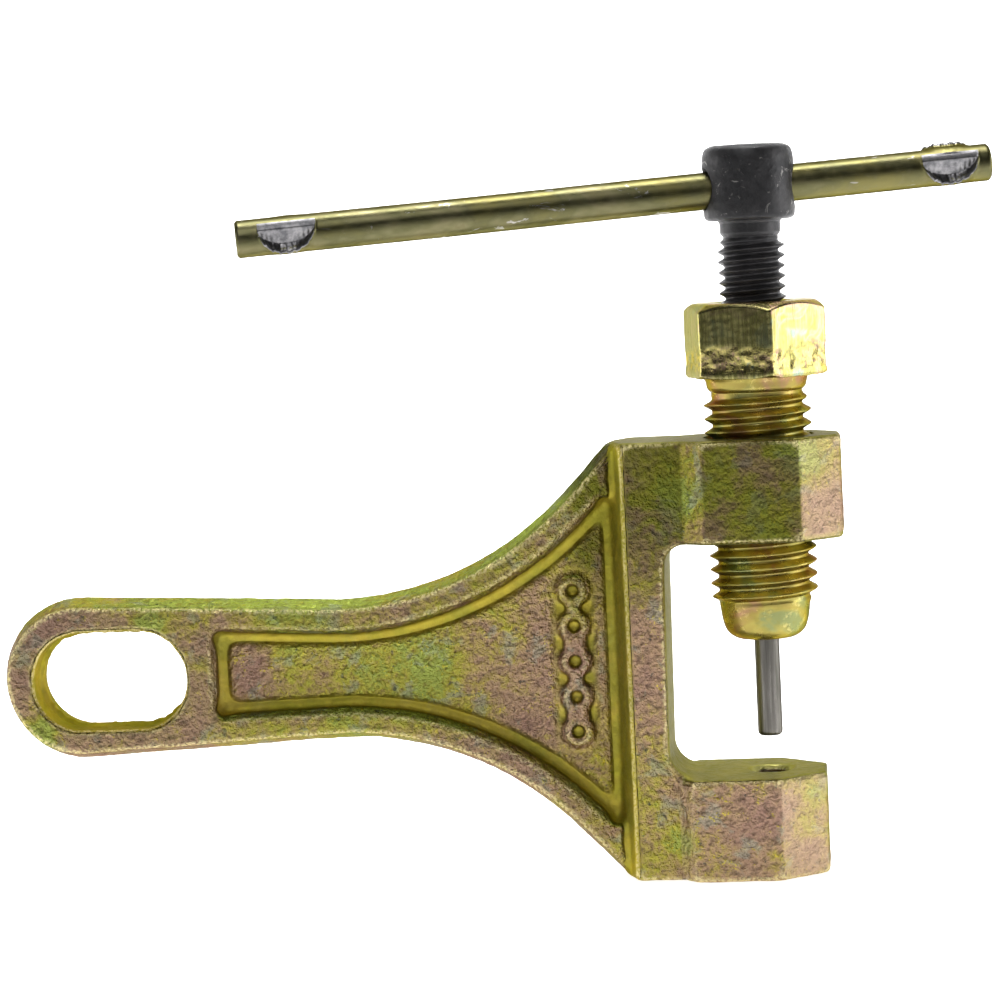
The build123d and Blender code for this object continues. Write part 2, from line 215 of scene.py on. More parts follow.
def build_frame():
    mesh = nodes["frame"].data.copy()
    obj = bpy.data.objects.new("frame_forging", mesh)
    scene.collection.objects.link(obj)
    mod = obj.modifiers.new("voxels", "REMESH")
    mod.mode = "VOXEL"
    mod.voxel_size = VOXEL * MM
    mod.adaptivity = 0.0
    deps = bpy.context.evaluated_depsgraph_get()
    fine = bpy.data.meshes.new_from_object(obj.evaluated_get(deps))
    obj.modifiers.clear()
    obj.data = fine
    bpy.data.meshes.remove(mesh)

    n = len(fine.vertices)
    co = read_points(fine)
    edges = np.zeros(len(fine.edges) * 2, int)
    fine.edges.foreach_get("vertices", edges)
    edges = edges.reshape(-1, 2)
    count = np.bincount(edges.ravel(), minlength=n).astype(float)

    # plain walls in place of the thread in the boss, clear of the bolt's crests
    radius = np.hypot(co[:, 0], co[:, 1])
    boss = (co[:, 2] > BORE_LOW * MM) & (radius < BORE_R * MM)
    grow = np.where(boss, BORE_R * MM / np.maximum(radius, 1e-9), 1.0)
    co[:, 0] *= grow
    co[:, 1] *= grow

    # round every edge as forging and plating do, then smooth copies further: bend is how far
    # a much smoother surface lies outside this one, above zero in hollows and below on edges
    for _ in range(3):
        co += 0.6 * (neighbours_mean(co, edges, count) - co)
    wide = co.copy()
    for turn in range(36):
        wide += 0.6 * (neighbours_mean(wide, edges, count) - wide)
        if turn == 8:
            soft = wide.copy()

    fine.vertices.foreach_set("co", co.ravel())
    fine.update()
    normal = np.zeros(n * 3)
    fine.vertices.foreach_get("normal", normal)
    normal = normal.reshape(-1, 3)
    bend = ((wide - co) * normal).sum(1) / MM
    bend[boss] = 0

    # hollows outside the jaw run out in soft curves, all but round the raised links
    mm = co / MM
    inner = smoothstep(0.04, 0.14, bend)
    inner *= 1 - (mm[:, 0] > -15.8) * (mm[:, 2] > -1.5) * (mm[:, 2] < 35.5)
    inner *= 1 - near_links(mm)
    inner = inner[:, None]
    for _ in range(4):
        inner = np.maximum(inner, neighbours_mean(inner, edges, count))
    for _ in range(3):
        inner = neighbours_mean(inner, edges, count)
    co += inner * (soft - co)
    fine.vertices.foreach_set("co", co.ravel())
    fine.update()
    fine.vertices.foreach_get("normal", normal.reshape(-1))

    # the raised links stand a little prouder
    mm = co / MM
    depth = np.abs(mm[:, 1])
    on_links = near_links(mm)
    base, crown = np.percentile(depth[on_links], [25, 99])
    tall = max(crown - base, 0.1)
    relief = smoothstep(base + 0.25 * tall, base + 0.65 * tall, depth) * on_links
    co[:, 1] += np.sign(co[:, 1]) * 0.22 * MM * relief

    # a small chamfer round the anvil hole's mouth
    mm = co / MM
    radius = np.hypot(mm[:, 0], mm[:, 1])
    mouth = smoothstep(3.5, 2.95, radius) * (radius > 2.0) * (np.abs(mm[:, 2]) < 1.5)
    co[:, 2] -= 0.5 * MM * mouth * smoothstep(-1.4, -0.1, mm[:, 2])

    # uneven forged skin
    skin = 0.07 * wave(co, 7.0, 1, 2) + 0.06 * wave(co, 1.6, 2, 2)
    sideways = smoothstep(0.85, 0.45, np.abs(normal[:, 1]))
    in_jaw = (mm[:, 0] > JAW_X) & (mm[:, 2] > JAW_LOW) & (mm[:, 2] < JAW_TOP)
    machined = sideways * in_jaw
    machined = np.maximum(machined, sideways * (radius < 3.6) * (mm[:, 2] < 0.5))
    roof = smoothstep(0.5, 0.8, normal[:, 2]) * smoothstep(48.3, 48.7, mm[:, 2])
    machined = np.maximum(machined, 0.8 * roof)
    skin *= 1 - 0.8 * machined
    # the smooth blend from the web up to the spine
    blend = smoothstep(0.3, 0.6, -normal[:, 0]) * (mm[:, 0] > -24) * (mm[:, 0] < -19.0)
    blend *= np.abs(normal[:, 2]) < 0.5
    # ragged trim line inside the slot
    past_middle = np.maximum(np.abs(mm[:, 0] - SLOT_X) - SLOT_HALF, 0)
    in_slot = np.hypot(past_middle, mm[:, 2] - SLOT_Z) < SLOT_REACH
    trim = smoothstep(1.1, 0.2, np.abs(mm[:, 1] - 0.4)) * in_slot
    skin += trim * (0.55 + 0.30 * wave(co, 1.3, 5, 2))
    slot_wall = in_slot * smoothstep(0.7, 0.3, np.abs(normal[:, 1]))
    co += normal * (skin * MM)[:, None]
    co[:, 2] = np.clip(co[:, 2], cad_low[2] + 0.00002, None)
    fine.vertices.foreach_set("co", co.ravel())

    # colour zones of the plating, 0 rosy, 1 lime, with a painted top sheen on upward faces
    plating_tone_and_top_sheen = 0.42 + 0.16 * wave(co, 13.0, 7, 2)
    for x, z, size, push in ZONES:
        reach = np.exp(-((mm[:, 0] - x) ** 2 + (mm[:, 2] - z) ** 2) / size ** 2)
        plating_tone_and_top_sheen += push * reach
    # painted top sheen: faces turned upward on the handle side are pushed toward the brighter lime
    # end
    plating_tone_and_top_sheen += 0.30 * smoothstep(0.3, 0.7, normal[:, 2]) * (mm[:, 0] < -20.0)

    # painted shade on the upper boss, the handle's rims and inside the anvil hole
    dark = smoothstep(20.0, 36.0, mm[:, 2] + 3 * wave(co, 6.0, 8, 2))
    dark *= smoothstep(-30, -26, mm[:, 0])
    strip = smoothstep(-0.35, -0.52, normal[:, 0]) * (mm[:, 0] > -14.5)
    dark *= (1 - strip) * smoothstep(0.55, 0.35, normal[:, 0])
    on_rim = smoothstep(3.2, 4.0, np.abs(mm[:, 1])) * (mm[:, 0] < -24.0)
    dark = np.maximum(dark, 0.42 * on_rim)
    hole = smoothstep(3.45, 3.15, radius) * (mm[:, 2] < 0.4) * (mm[:, 2] > -14.0)
    dark = np.maximum(dark, 1.2 * hole)

    # painted sheen: paler colour on the bosses' right facets and the lower boss's left strip
    pale = smoothstep(0.45, 0.62, normal[:, 0]) * smoothstep(0.3, 0.5, np.abs(normal[:, 1]))
    pale = np.maximum(pale, 0.8 * strip * (mm[:, 2] < 3.0))

    # mustard in the hollows, the slot's wall and the blend up to the spine
    cove = bend * np.where(mm[:, 0] > -17.5, 0.35, 1.0)
    smooth_wall = np.maximum(np.maximum(blend, slot_wall) * 0.5, cove)[:, None]
    for _ in range(4):
        smooth_wall = neighbours_mean(smooth_wall, edges, count)
    smooth_wall = smooth_wall[:, 0]
    add_layer(fine, "hollow", np.maximum(smooth_wall, 0))
    # how far edges and the raised links stand out; it carries a painted highlight along the edges,
    # partly edge wear
    add_layer(fine, "ridge_wear_and_highlight", np.maximum(-bend, 0) + 0.07 * relief)
    add_layer(fine, "machined", machined)
    add_layer(fine, "zone_and_top_sheen", plating_tone_and_top_sheen)
    add_layer(fine, "dark", dark)
    add_layer(fine, "pale", pale)
    fine.polygons.foreach_set("use_smooth", [True] * len(fine.polygons))
    fine.update()
    return obj


# ---------------------------------------------------------------- pressure bolt
def hex_radius(theta):
    """Distance from the axis to the hexagon's side, with rounded corners."""
    turn = np.degrees(theta) - HEX_TURN
    off = np.radians((turn + 30) % 60 - 30)
    flat = HEX_FLAT / np.cos(off)
    limit = HEX_FLAT / math.cos(math.radians(30)) - 0.12
    soft = 0.05
    return limit - soft * np.logaddexp(0, (limit - flat) / soft)


def build_bolt_shank():
    corners = [
        (1.88, 22.0), (1.88, 19.7), (2.1, 19.4), (4.3, 19.42), (5.75, 20.5), (6.3, 22.2),
        (6.56, 24.2), (BOLT_ROOT, 24.5), (BOLT_ROOT, 55.5), (7.2, 56.0), (7.42, 57.2),
        (7.8, 57.8), (7.8, 59.0), (4.2, 59.0),
    ]
    corners = round_profile(corners, {3: 0.9, 4: 0.9, 5: 0.8, 6: 0.3, 9: 0.4, 10: 0.8})
    thread = {"pitch": BOLT_PITCH, "crest": BOLT_CREST, "root": BOLT_ROOT,
              "phase": 0.60, "low": 24.5, "high": 55.5, "fade_low": 1.5, "fade_high": 1.8}
    return lathe("bolt_shank", corners, 160, 0.12, thread)


def build_bolt_head():
    per_face = 36
    theta = []
    for face in range(6):
        start = math.radians(HEX_TURN - 30 + 60 * face)
        for i in range(per_face):
            t = i / per_face
            t = t - 0.1 * math.sin(2 * math.pi * t) / (2 * math.pi) * 4
            theta.append(start + math.radians(60) * t)
    theta = np.array(theta)
    side = hex_radius(theta)
    cols = len(theta)
    rows = []

    def row(r, z):
        rows.append(np.stack([r * np.cos(theta), r * np.sin(theta),
                              np.broadcast_to(z, (cols,))], 1))

    top = HEAD_TOP - np.maximum(side - CHAMFER_START, 0) * CHAMFER_SLOPE
    low = HEAD_LOW + np.maximum(side - 10.1, 0) * 0.4
    row(np.full(cols, 6.0), HEAD_LOW + 0.1)
    row(np.full(cols, 8.6), HEAD_LOW + 0.02)
    row(np.minimum(side, 10.1) - 0.15, low * 0 + HEAD_LOW)
    row(side - 0.12, low + 0.02)
    for t in (0.0, 0.012, 0.03):
        row(side - 0.04 * (t == 0), low + 0.1 + (top - low) * t)
    for t in np.linspace(0.06, 0.94, 40):
        row(side, low + (top - low) * t)
    for t in (0.965, 0.98):
        row(side, low + (top - low) * t)
    row(side - 0.03, top - 0.07)
    row(side - 0.14, top + 0.04)
    for t in np.linspace(0.15, 0.9, 6):
        r = side + (CHAMFER_START - side) * t
        z = HEAD_TOP - np.maximum(r - CHAMFER_START, 0) * CHAMFER_SLOPE
        row(np.minimum(r, side - 0.14), z)
    row(np.minimum(np.full(cols, 8.75), side - 0.3), HEAD_TOP)
    for r in (8.3, 7.4, 6.5, 5.7):
        row(np.full(cols, r), HEAD_TOP)
    row(np.full(cols, 5.45), HEAD_TOP - 0.03)
    row(np.full(cols, 5.1), HEAD_TOP - 0.5)
    row(np.full(cols, 5.05), HEAD_TOP - 2.4)
    points = np.array(rows) * MM
    obj = tube_grid("bolt_head", points)

    # press marks in the lower third of each flat, and a thin uneven lip
    mesh = obj.data
    co = read_points(mesh)
    mm = co / MM
    r = np.hypot(mm[:, 0], mm[:, 1])
    out = mm[:, :2] / np.maximum(r, 1e-6)[:, None]
    on_side = smoothstep(8.9, 9.3, r)
    height = mm[:, 2]
    rough = wave(co, 2.2, 11, 3)
    fine = wave(co, 0.8, 12, 2)
    band = smoothstep(62.6, 61.4, height + 0.7 * wave(co, 5.0, 14, 1))
    band *= smoothstep(58.5, 59.2, height)
    lip = smoothstep(59.4, 58.8, height + 0.25 * fine) * smoothstep(57.8, 58.1, height)
    press = 0.12 + 0.20 * np.maximum(rough, -0.2) + 0.08 * fine
    push = on_side * (-band * press + 0.02 * fine)
    push += on_side * lip * 0.05
    co[:, :2] += out * (push * MM)[:, None]
    co[:, 2] += np.where(height < 59.0, (0.12 * wave(co, 3.0, 15, 2)) * MM * on_side, 0)
    mesh.vertices.foreach_set("co", co.ravel())
    add_layer(mesh, "pressed", band * on_side)
    # 1 on the front and back flats, which get painted shade, and -1 on the left one, which gets a
    # grey painted reflection
    angle = np.arctan2(mm[:, 1], mm[:, 0])
    front = smoothstep(0.84, 0.88, np.abs(np.cos(angle + math.radians(HEX_FRONT))))
    left = smoothstep(0.84, 0.88, np.cos(angle + math.radians(HEX_LEFT)))
    add_layer(mesh, "face", (front - left) * on_side)
    mesh.update()
    return obj


# ---------------------------------------------------------------- spindle screw
def build_spindle_thread():
    corners = [
        (0.0, 47.42), (3.4, 47.42), (SCREW_ROOT, 48.0), (SCREW_ROOT, 77.9), (4.15, 78.1),
        (4.38, 78.5), (4.42, 79.9), (4.9, 80.6), (4.9, 82.0), (0.0, 82.0),
    ]
    thread = {"pitch": SCREW_PITCH, "crest": SCREW_CREST, "root": SCREW_ROOT,
              "phase": 0.01, "low": 48.0, "high": 77.9, "fade_low": 1.0, "fade_high": 1.3}
    return lathe("spindle_thread", corners, 128, 0.1, thread)


def build_spindle_head():
    corners = [
        (0.0, 80.3), (4.3, 80.25), (5.8, 80.2), (6.55, 80.6), (6.68, 81.8), (6.68, 85.0),
        (6.66, 89.3), (6.3, 90.6), (5.3, 91.12), (2.5, 91.22), (0.0, 91.25),
    ]
    corners = round_profile(corners, {2: 0.5, 3: 0.4, 6: 0.7, 7: 0.9, 8: 0.6})
    obj = lathe("spindle_head", corners, 128, 0.3, None,
                lambda r, z, t: 0.05 * np.sin(2 * t + 0.7) * (r > 5) - 0.06 * (r > 0.5))
    swing = math.radians(BAR_SWING)
    along = Vector((math.cos(swing), math.sin(swing), 0))
    hole_corners = [(0.0, -9.0), (3.9, -9.0), (3.2, -6.0), (3.2, 6.0), (3.9, 9.0), (0.0, 9.0)]
    cutter = lathe("hole_cutter", hole_corners, 64, 1.5)
    turn = along.to_track_quat("Z", "Y").to_matrix().to_4x4()
    cutter.data.transform(Matrix.Translation((0, 0, BAR_Z * MM)) @ turn)
    mod = obj.modifiers.new("hole", "BOOLEAN")
    mod.operation = "DIFFERENCE"
    mod.solver = "EXACT"
    mod.object = cutter
    deps = bpy.context.evaluated_depsgraph_get()
    cut = bpy.data.meshes.new_from_object(obj.evaluated_get(deps))
    obj.modifiers.clear()
    obj.data = cut
    bpy.data.objects.remove(cutter)
    bevel = obj.modifiers.new("edges", "BEVEL")
    bevel.width = 0.25 * MM
    bevel.segments = 3
    bevel.angle_limit = math.radians(38)
    cut.polygons.foreach_set("use_smooth", [True] * len(cut.polygons))
    return obj


# ---------------------------------------------------------------- tommy bar
def build_bar():
    tilt, swing = math.radians(BAR_TILT), math.radians(BAR_SWING)
    along = np.array([math.cos(tilt) * math.cos(swing), math.cos(tilt) * math.sin(swing),
                      math.sin(tilt)])
    front = np.array([math.sin(swing), -math.cos(swing), 0.0])
    up = np.cross(along, -front)
    left, right = -BAR_LEFT, BAR_LENGTH - BAR_LEFT - BAR_TRIM
    # ears: place along the bar, turn round it in degrees, seed
    ears = [(left + 7.3, 0.0, 1), (left + 7.3, 180.0, 2), (right - 6.1, 0.0, 3),
            (right - 6.1, 141.0, 4)]

    # rings along the bar, close together round the ears
    s = [left, left + 0.02, left + 0.12, left + 0.3]
    x = left + 0.5
    while x < right - 0.4:
        near = min(abs(x - e[0]) for e in ears)
        s.append(x)
        x += 0.13 if near < 5.4 else 0.6
    s += [right - 0.3, right - 0.12, right - 0.02, right]
    s = np.array(s)
    cols = 112
    theta = np.arange(cols) * 2 * math.pi / cols
    S, T = np.meshgrid(s, theta, indexing="ij")
    end = np.minimum(S - left, right - S)
    R = BAR_R - 0.3 * smoothstep(0.3, 0.0, end)
    R = R + 0.025 * np.sin(3 * T + 0.2) * np.sin(S * 0.11)

    # each ear is a round-ended chisel cut with its metal raised in front of it
    half, deep = 4.15, 2.75
    arc = (half * half + deep * deep) / (2 * deep)
    slope = math.radians(25)
    grey = np.zeros_like(R)
    for middle, turn, seed in ears:
        a = T - math.radians(turn)
        c, d = np.cos(a), np.sin(a)
        shift = S - middle
        slant = shift * (0.06 if seed % 2 else -0.05)
        fall = ((BAR_R * c - 2.5) * -math.sin(slope)
                + (BAR_R * d - 1.0 - slant) * -math.cos(slope))
        depth = np.sqrt(np.maximum(arc * arc - shift * shift, 0)) - (arc - deep)
        facing = np.cos(a + slope)
        inside = (facing > 0.3) & (np.abs(shift) < half + 0.6)
        plane = 1.86 / np.maximum(facing, 0.3)
        ragged = 0.10 * np.sin(shift * 5.1 + seed) + 0.06 * np.sin(shift * 11.3 + seed * 2)
        gap = depth - fall + 0.4 * ragged
        cut = smoothstep(-0.10, 0.16, gap) * inside * (np.abs(shift) < half)
        floor = np.minimum(plane + 0.03 * np.sin(shift * 9 + seed), R)
        R = R * (1 - cut) + floor * cut
        lip = np.exp(-((gap + 0.30) / 0.26) ** 2) * inside
        lip = lip * smoothstep(half + 0.5, half - 1.2, np.abs(shift))
        R = R + lip * (0.62 + ragged)
        swell = np.exp(-((gap + 0.9) / 0.8) ** 2) * inside
        R = R + 0.20 * swell * smoothstep(half + 0.5, half - 1.5, np.abs(shift))
        grey = np.maximum(grey, np.maximum(cut, 0.9 * lip))
    origin = np.array([0, 0, BAR_Z])
    P = (origin + S[..., None] * along + (R * np.cos(T))[..., None] * front
         + (R * np.sin(T))[..., None] * up)
    obj = tube_grid("bar_rod", P * MM)
    add_layer(obj.data, "bare", np.concatenate([grey.ravel(), [0.0, 0.0]]))
    return obj


# ---------------------------------------------------------------- push pin
def build_pin():
    corners = [
        (0.0, 5.0), (1.45, 5.02), (1.76, 5.3), (1.8, 5.7), (1.8, 44.3), (1.9, 44.4),
        (3.7, 44.42), (3.9, 44.6), (3.9, 47.0), (3.5, 47.38), (0.0, 47.38),
    ]
    return lathe("pin_rod", corners, 72, 0.8)


# ---------------------------------------------------------------- node helpers
class Graph:
    """Short names for building a material's nodes."""

    def __init__(self, name):
        self.mat = bpy.data.materials.new(name)
        self.mat.use_nodes = True
        self.tree = self.mat.node_tree
        self.tree.nodes.clear()
        self.out = self.add("ShaderNodeOutputMaterial")
        self.bsdf = self.add("ShaderNodeBsdfPrincipled")
        self.link(self.bsdf.outputs[0], self.out.inputs["Surface"])
        self.where = self.add("ShaderNodeTexCoord").outputs["Object"]

    def add(self, kind):
        return self.tree.nodes.new(kind)

    def link(self, a, b):
        self.tree.links.new(a, b)

    def put(self, socket, value):
        if hasattr(value, "links"):
            self.link(value, socket)
        else:
            socket.default_value = value

    def noise(self, size, detail, rough, seed, stretch=None, distort=0.0):
        """Seeded noise with features of a given size in millimetres."""
        move = self.add("ShaderNodeMapping")
        self.link(self.where, move.inputs["Vector"])
        move.inputs["Location"].default_value = (seed * 0.37, seed * 0.11, seed * 0.23)
        if stretch:
            move.inputs["Scale"].default_value = stretch
        n = self.add("ShaderNodeTexNoise")
        self.link(move.outputs[0], n.inputs["Vector"])
        n.inputs["Scale"].default_value = 1000.0 / size
        n.inputs["Detail"].default_value = detail
        n.inputs["Roughness"].default_value = rough
        n.inputs["Distortion"].default_value = distort
        return n.outputs["Fac"]

    def span(self, value, low, high, to_low=0.0, to_high=1.0):
        m = self.add("ShaderNodeMapRange")
        m.interpolation_type = "SMOOTHSTEP"
        self.put(m.inputs["Value"], value)
        m.inputs["From Min"].default_value = low
        m.inputs["From Max"].default_value = high
        m.inputs["To Min"].default_value = to_low
        m.inputs["To Max"].default_value = to_high
        return m.outputs["Result"]

    def math(self, op, a, b=0.0):
        m = self.add("ShaderNodeMath")
        m.operation = op
        self.put(m.inputs[0], a)
        self.put(m.inputs[1], b)
        return m.outputs[0]

    def mix(self, amount, a, b):
        m = self.add("ShaderNodeMix")
        m.data_type = "RGBA"
        self.put(m.inputs["Factor"], amount)
        self.put(m.inputs[6], a if hasattr(a, "links") else (*a, 1.0))
        self.put(m.inputs[7], b if hasattr(b, "links") else (*b, 1.0))
        return m.outputs[2]

    def ramp(self, value, stops):
        r = self.add("ShaderNodeValToRGB")
        self.put(r.inputs[0], value)
        while len(r.color_ramp.elements) < len(stops):
            r.color_ramp.elements.new(0.5)
        for e, (at, colour) in zip(r.color_ramp.elements, stops):
            e.position = at
            e.color = (*colour, 1.0)
        return r.outputs[0]

    def attribute(self, name):
        a = self.add("ShaderNodeAttribute")
        a.attribute_name = name
        return a.outputs["Fac"]

    def place(self):
        """The point's own X, Y and Z in the row frame, in metres."""
        split = self.add("ShaderNodeSeparateXYZ")
        self.link(self.where, split.inputs[0])
        return split.outputs

    def bump(self, layers):
        """layers of (height, strength, distance in millimetres), one over another."""
        normal = None
        for height, strength, distance in layers:
            b = self.add("ShaderNodeBump")
            b.inputs["Strength"].default_value = strength
            b.inputs["Distance"].default_value = distance * MM
            self.link(height, b.inputs["Height"])
            if normal:
                self.link(normal, b.inputs["Normal"])
            normal = b.outputs[0]
        self.link(normal, self.bsdf.inputs["Normal"])


def forged_zinc():
    g = Graph("zinc_forged_skin")
    cloud = g.noise(6.5, 4.0, 0.62, 2, None, 0.3)
    mottle = g.noise(2.1, 4.0, 0.65, 3)
    grain = g.noise(0.95, 3.0, 0.60, 4)
    speck = g.noise(0.42, 2.0, 0.5, 5)
    blue = g.noise(4.2, 4.0, 0.6, 6, None, 0.5)
    spots = g.noise(1.1, 2.0, 0.5, 7)

    def swing(value, much):
        return g.math("MULTIPLY", g.math("SUBTRACT", value, 0.5), much)

    # the zone layer holds the plating's colour zones and the painted top sheen on upward faces
    tone = g.math("ADD", g.attribute("zone_and_top_sheen"), swing(cloud, 0.80))
    tone = g.math("ADD", tone, swing(mottle, 0.50))
    tone = g.math("ADD", tone, swing(grain, 0.40))
    colour = g.ramp(tone, [
        (0.12, (0.39, 0.24, 0.18)), (0.34, (0.45, 0.30, 0.18)), (0.47, (0.47, 0.36, 0.12)),
        (0.60, (0.45, 0.41, 0.07)), (0.74, (0.36, 0.41, 0.09)), (0.96, (0.44, 0.52, 0.11)),
    ])
    colour = g.mix(g.math("MULTIPLY", g.span(blue, 0.55, 0.66), 0.50), colour, (0.34, 0.37, 0.29))
    # painted glints: golden flecks where the speck bumps peak, partly real gold specks
    specks_and_glints = g.math("MULTIPLY", g.span(speck, 0.56, 0.64), g.span(mottle, 0.54, 0.62))
    colour = g.mix(g.math("MULTIPLY", specks_and_glints, 0.6), colour, (0.72, 0.58, 0.06))
    # painted shade in the grain's dips, where its bump is low
    pit_shade = g.span(grain, 0.47, 0.33)
    colour = g.mix(g.math("MULTIPLY", pit_shade, 0.42), colour, (0.11, 0.095, 0.05))
    # scattered near-black dots
    dark_dots = g.math("MULTIPLY", g.span(spots, 0.66, 0.74), 0.75)
    colour = g.mix(dark_dots, colour, (0.09, 0.10, 0.08))
    # painted sheen from the pale layer: the bosses' right facets and the lower boss's left strip are
    # paler
    colour = g.mix(g.math("MULTIPLY", g.attribute("pale"), 0.28), colour, (0.92, 0.70, 0.48))
    # painted shade from the dark layer: the upper boss, the handle's rims and inside the anvil hole
    dark = g.attribute("dark")
    shade = g.mix(g.span(cloud, 0.44, 0.56), (0.10, 0.075, 0.04), (0.10, 0.11, 0.010))
    colour = g.mix(g.math("MULTIPLY", dark, 0.78), colour, shade)
    hollow = g.span(g.attribute("hollow"), 0.03, 0.15)
    mustard = g.mix(g.span(cloud, 0.36, 0.62), (0.36, 0.33, 0.035), (0.48, 0.38, 0.050))
    colour = g.mix(g.math("MULTIPLY", hollow, 0.90), colour, mustard)
    # painted highlight: a ragged cream line along the edges and links, partly edge wear
    ridge_wear_and_highlight = g.span(g.attribute("ridge_wear_and_highlight"), 0.19, 0.42)
    ragged = g.math("MULTIPLY", ridge_wear_and_highlight, g.span(speck, 0.40, 0.56, 0.08, 0.75))
    colour = g.mix(ragged, colour, (0.90, 0.78, 0.40))
    flat = g.attribute("machined")
    lines = g.noise(3.0, 3.0, 0.5, 8)
    cut = g.ramp(lines, [(0.35, (0.36, 0.35, 0.10)), (0.65, (0.46, 0.43, 0.15))])
    colour = g.mix(flat, colour, cut)
    g.link(colour, g.bsdf.inputs["Base Color"])
    g.bsdf.inputs["Metallic"].default_value = 0.93
    g.bsdf.inputs["Specular Tint"].default_value = (0.10, 0.09, 0.03, 1.0)
    rough = g.span(grain, 0.3, 0.7, 0.44, 0.28)
    rough = g.math("ADD", rough, g.math("MULTIPLY", hollow, 0.16))
    g.link(rough, g.bsdf.inputs["Roughness"])
    calm = g.math("SUBTRACT", 1.0, g.math("MULTIPLY", hollow, 0.85))
    calm = g.math("SUBTRACT", calm, g.math("MULTIPLY", flat, 0.85))
    grain_height = g.math("MULTIPLY", grain, g.math("MAXIMUM", calm, 0.06))
    mottle_height = g.math("MULTIPLY", mottle, g.math("MAXIMUM", calm, 0.1))
    speck_height = g.math("MULTIPLY", speck, g.math("MAXIMUM", calm, 0.05))
    g.bump([(mottle_height, 0.6, 0.50), (grain_height, 1.0, 0.85), (speck_height, 0.9, 0.26)])
    return g.mat


def turned_zinc():
    """The same plating on a smooth turned part: softer colour play, fine turning lines."""
    g = Graph("zinc_turned_skin")
    cloud = g.noise(7.0, 3.0, 0.55, 21, None, 0.6)
    small = g.noise(1.6, 3.0, 0.6, 22)
    colour = g.ramp(cloud, [
        (0.36, (0.38, 0.22, 0.12)), (0.45, (0.38, 0.29, 0.08)), (0.54, (0.42, 0.35, 0.09)),
        (0.64, (0.28, 0.30, 0.12)),
    ])
    colour = g.mix(g.math("MULTIPLY", g.span(small, 0.55, 0.70), 0.35), colour, (0.78, 0.66, 0.26))
    colour = g.mix(g.math("MULTIPLY", g.span(small, 0.44, 0.32), 0.35), colour, (0.30, 0.27, 0.07))
    g.link(colour, g.bsdf.inputs["Base Color"])
    g.bsdf.inputs["Metallic"].default_value = 0.95
    g.bsdf.inputs["Specular Tint"].default_value = (0.20, 0.17, 0.06, 1.0)
    g.link(g.span(small, 0.3, 0.7, 0.40, 0.24), g.bsdf.inputs["Roughness"])
    rings = g.noise(4.0, 3.0, 0.6, 24, (0.15, 0.15, 14.0))
    g.bump([(small, 0.35, 0.10), (rings, 0.30, 0.05)])
    return g.mat


def hex_zinc():
    g = Graph("zinc_hex_skin")
    cloud = g.noise(6.0, 3.0, 0.6, 31, None, 0.8)
    small = g.noise(1.1, 3.0, 0.6, 32)
    drag = g.noise(1.6, 4.0, 0.65, 33, (3.0, 3.0, 0.16))
    colour = g.ramp(cloud, [
        (0.34, (0.48, 0.40, 0.10)), (0.43, (0.58, 0.38, 0.27)), (0.50, (0.44, 0.40, 0.12)),
        (0.56, (0.50, 0.45, 0.15)), (0.63, (0.34, 0.44, 0.34)),
    ])
    colour = g.mix(g.math("MULTIPLY", g.span(drag, 0.52, 0.66), 0.7), colour, (0.70, 0.62, 0.26))
    colour = g.mix(g.math("MULTIPLY", g.span(drag, 0.44, 0.34), 0.5), colour, (0.36, 0.34, 0.13))
    pressed = g.attribute("pressed")
    face = g.attribute("face")
    fresh = g.math("SUBTRACT", 1.0, g.math("MULTIPLY", pressed, 0.8))
    # painted shade on the front and back flats, weaker on the pressed band
    front_back_shade = g.mix(g.span(drag, 0.42, 0.60), (0.13, 0.125, 0.045), (0.30, 0.28, 0.11))
    colour = g.mix(g.math("MULTIPLY", g.span(face, 0.0, 1.0, 0.0, 0.85), fresh), colour, front_back_shade)
    # painted reflection: the left flat is tinted grey
    colour = g.mix(g.span(face, 0.0, -1.0, 0.0, 0.7), colour, (0.40, 0.41, 0.27))
    colour = g.mix(g.math("MULTIPLY", pressed, g.span(small, 0.42, 0.58)), colour, (0.66, 0.56, 0.20))
    pits = g.math("MULTIPLY", g.span(small, 0.40, 0.30), g.math("MULTIPLY", pressed, 0.6))
    colour = g.mix(pits, colour, (0.20, 0.19, 0.08))
    g.link(colour, g.bsdf.inputs["Base Color"])
    g.bsdf.inputs["Metallic"].default_value = 0.97
    g.bsdf.inputs["Specular Tint"].default_value = (0.30, 0.28, 0.16, 1.0)
    g.link(g.span(drag, 0.3, 0.7, 0.30, 0.20), g.bsdf.inputs["Roughness"])
    dents = g.math("MULTIPLY", small, g.math("ADD", g.math("MULTIPLY", pressed, 0.5), 0.03))
    g.bump([(dents, 0.8, 0.35), (drag, 0.5, 0.10)])
    return g.mat


def black_oxide():
    g = Graph("black_oxide_skin")
    cloud = g.noise(5.0, 3.0, 0.6, 41)
    small = g.noise(0.9, 3.0, 0.6, 42)
    spots = g.noise(2.2, 4.0, 0.7, 43, None, 1.2)
    colour = g.ramp(cloud, [(0.35, (0.030, 0.030, 0.032)), (0.65, (0.060, 0.058, 0.060))])
    worn = g.math("MULTIPLY", g.span(spots, 0.60, 0.68), g.span(g.place()[2], 0.0805, 0.0812))
    colour = g.mix(worn, colour, (0.26, 0.25, 0.24))
    g.link(colour, g.bsdf.inputs["Base Color"])
    g.bsdf.inputs["Metallic"].default_value = 0.55
    g.link(g.span(small, 0.3, 0.7, 0.52, 0.36), g.bsdf.inputs["Roughness"])
    g.bump([(small, 0.5, 0.16), (spots, 0.25, 0.12)])
    return g.mat


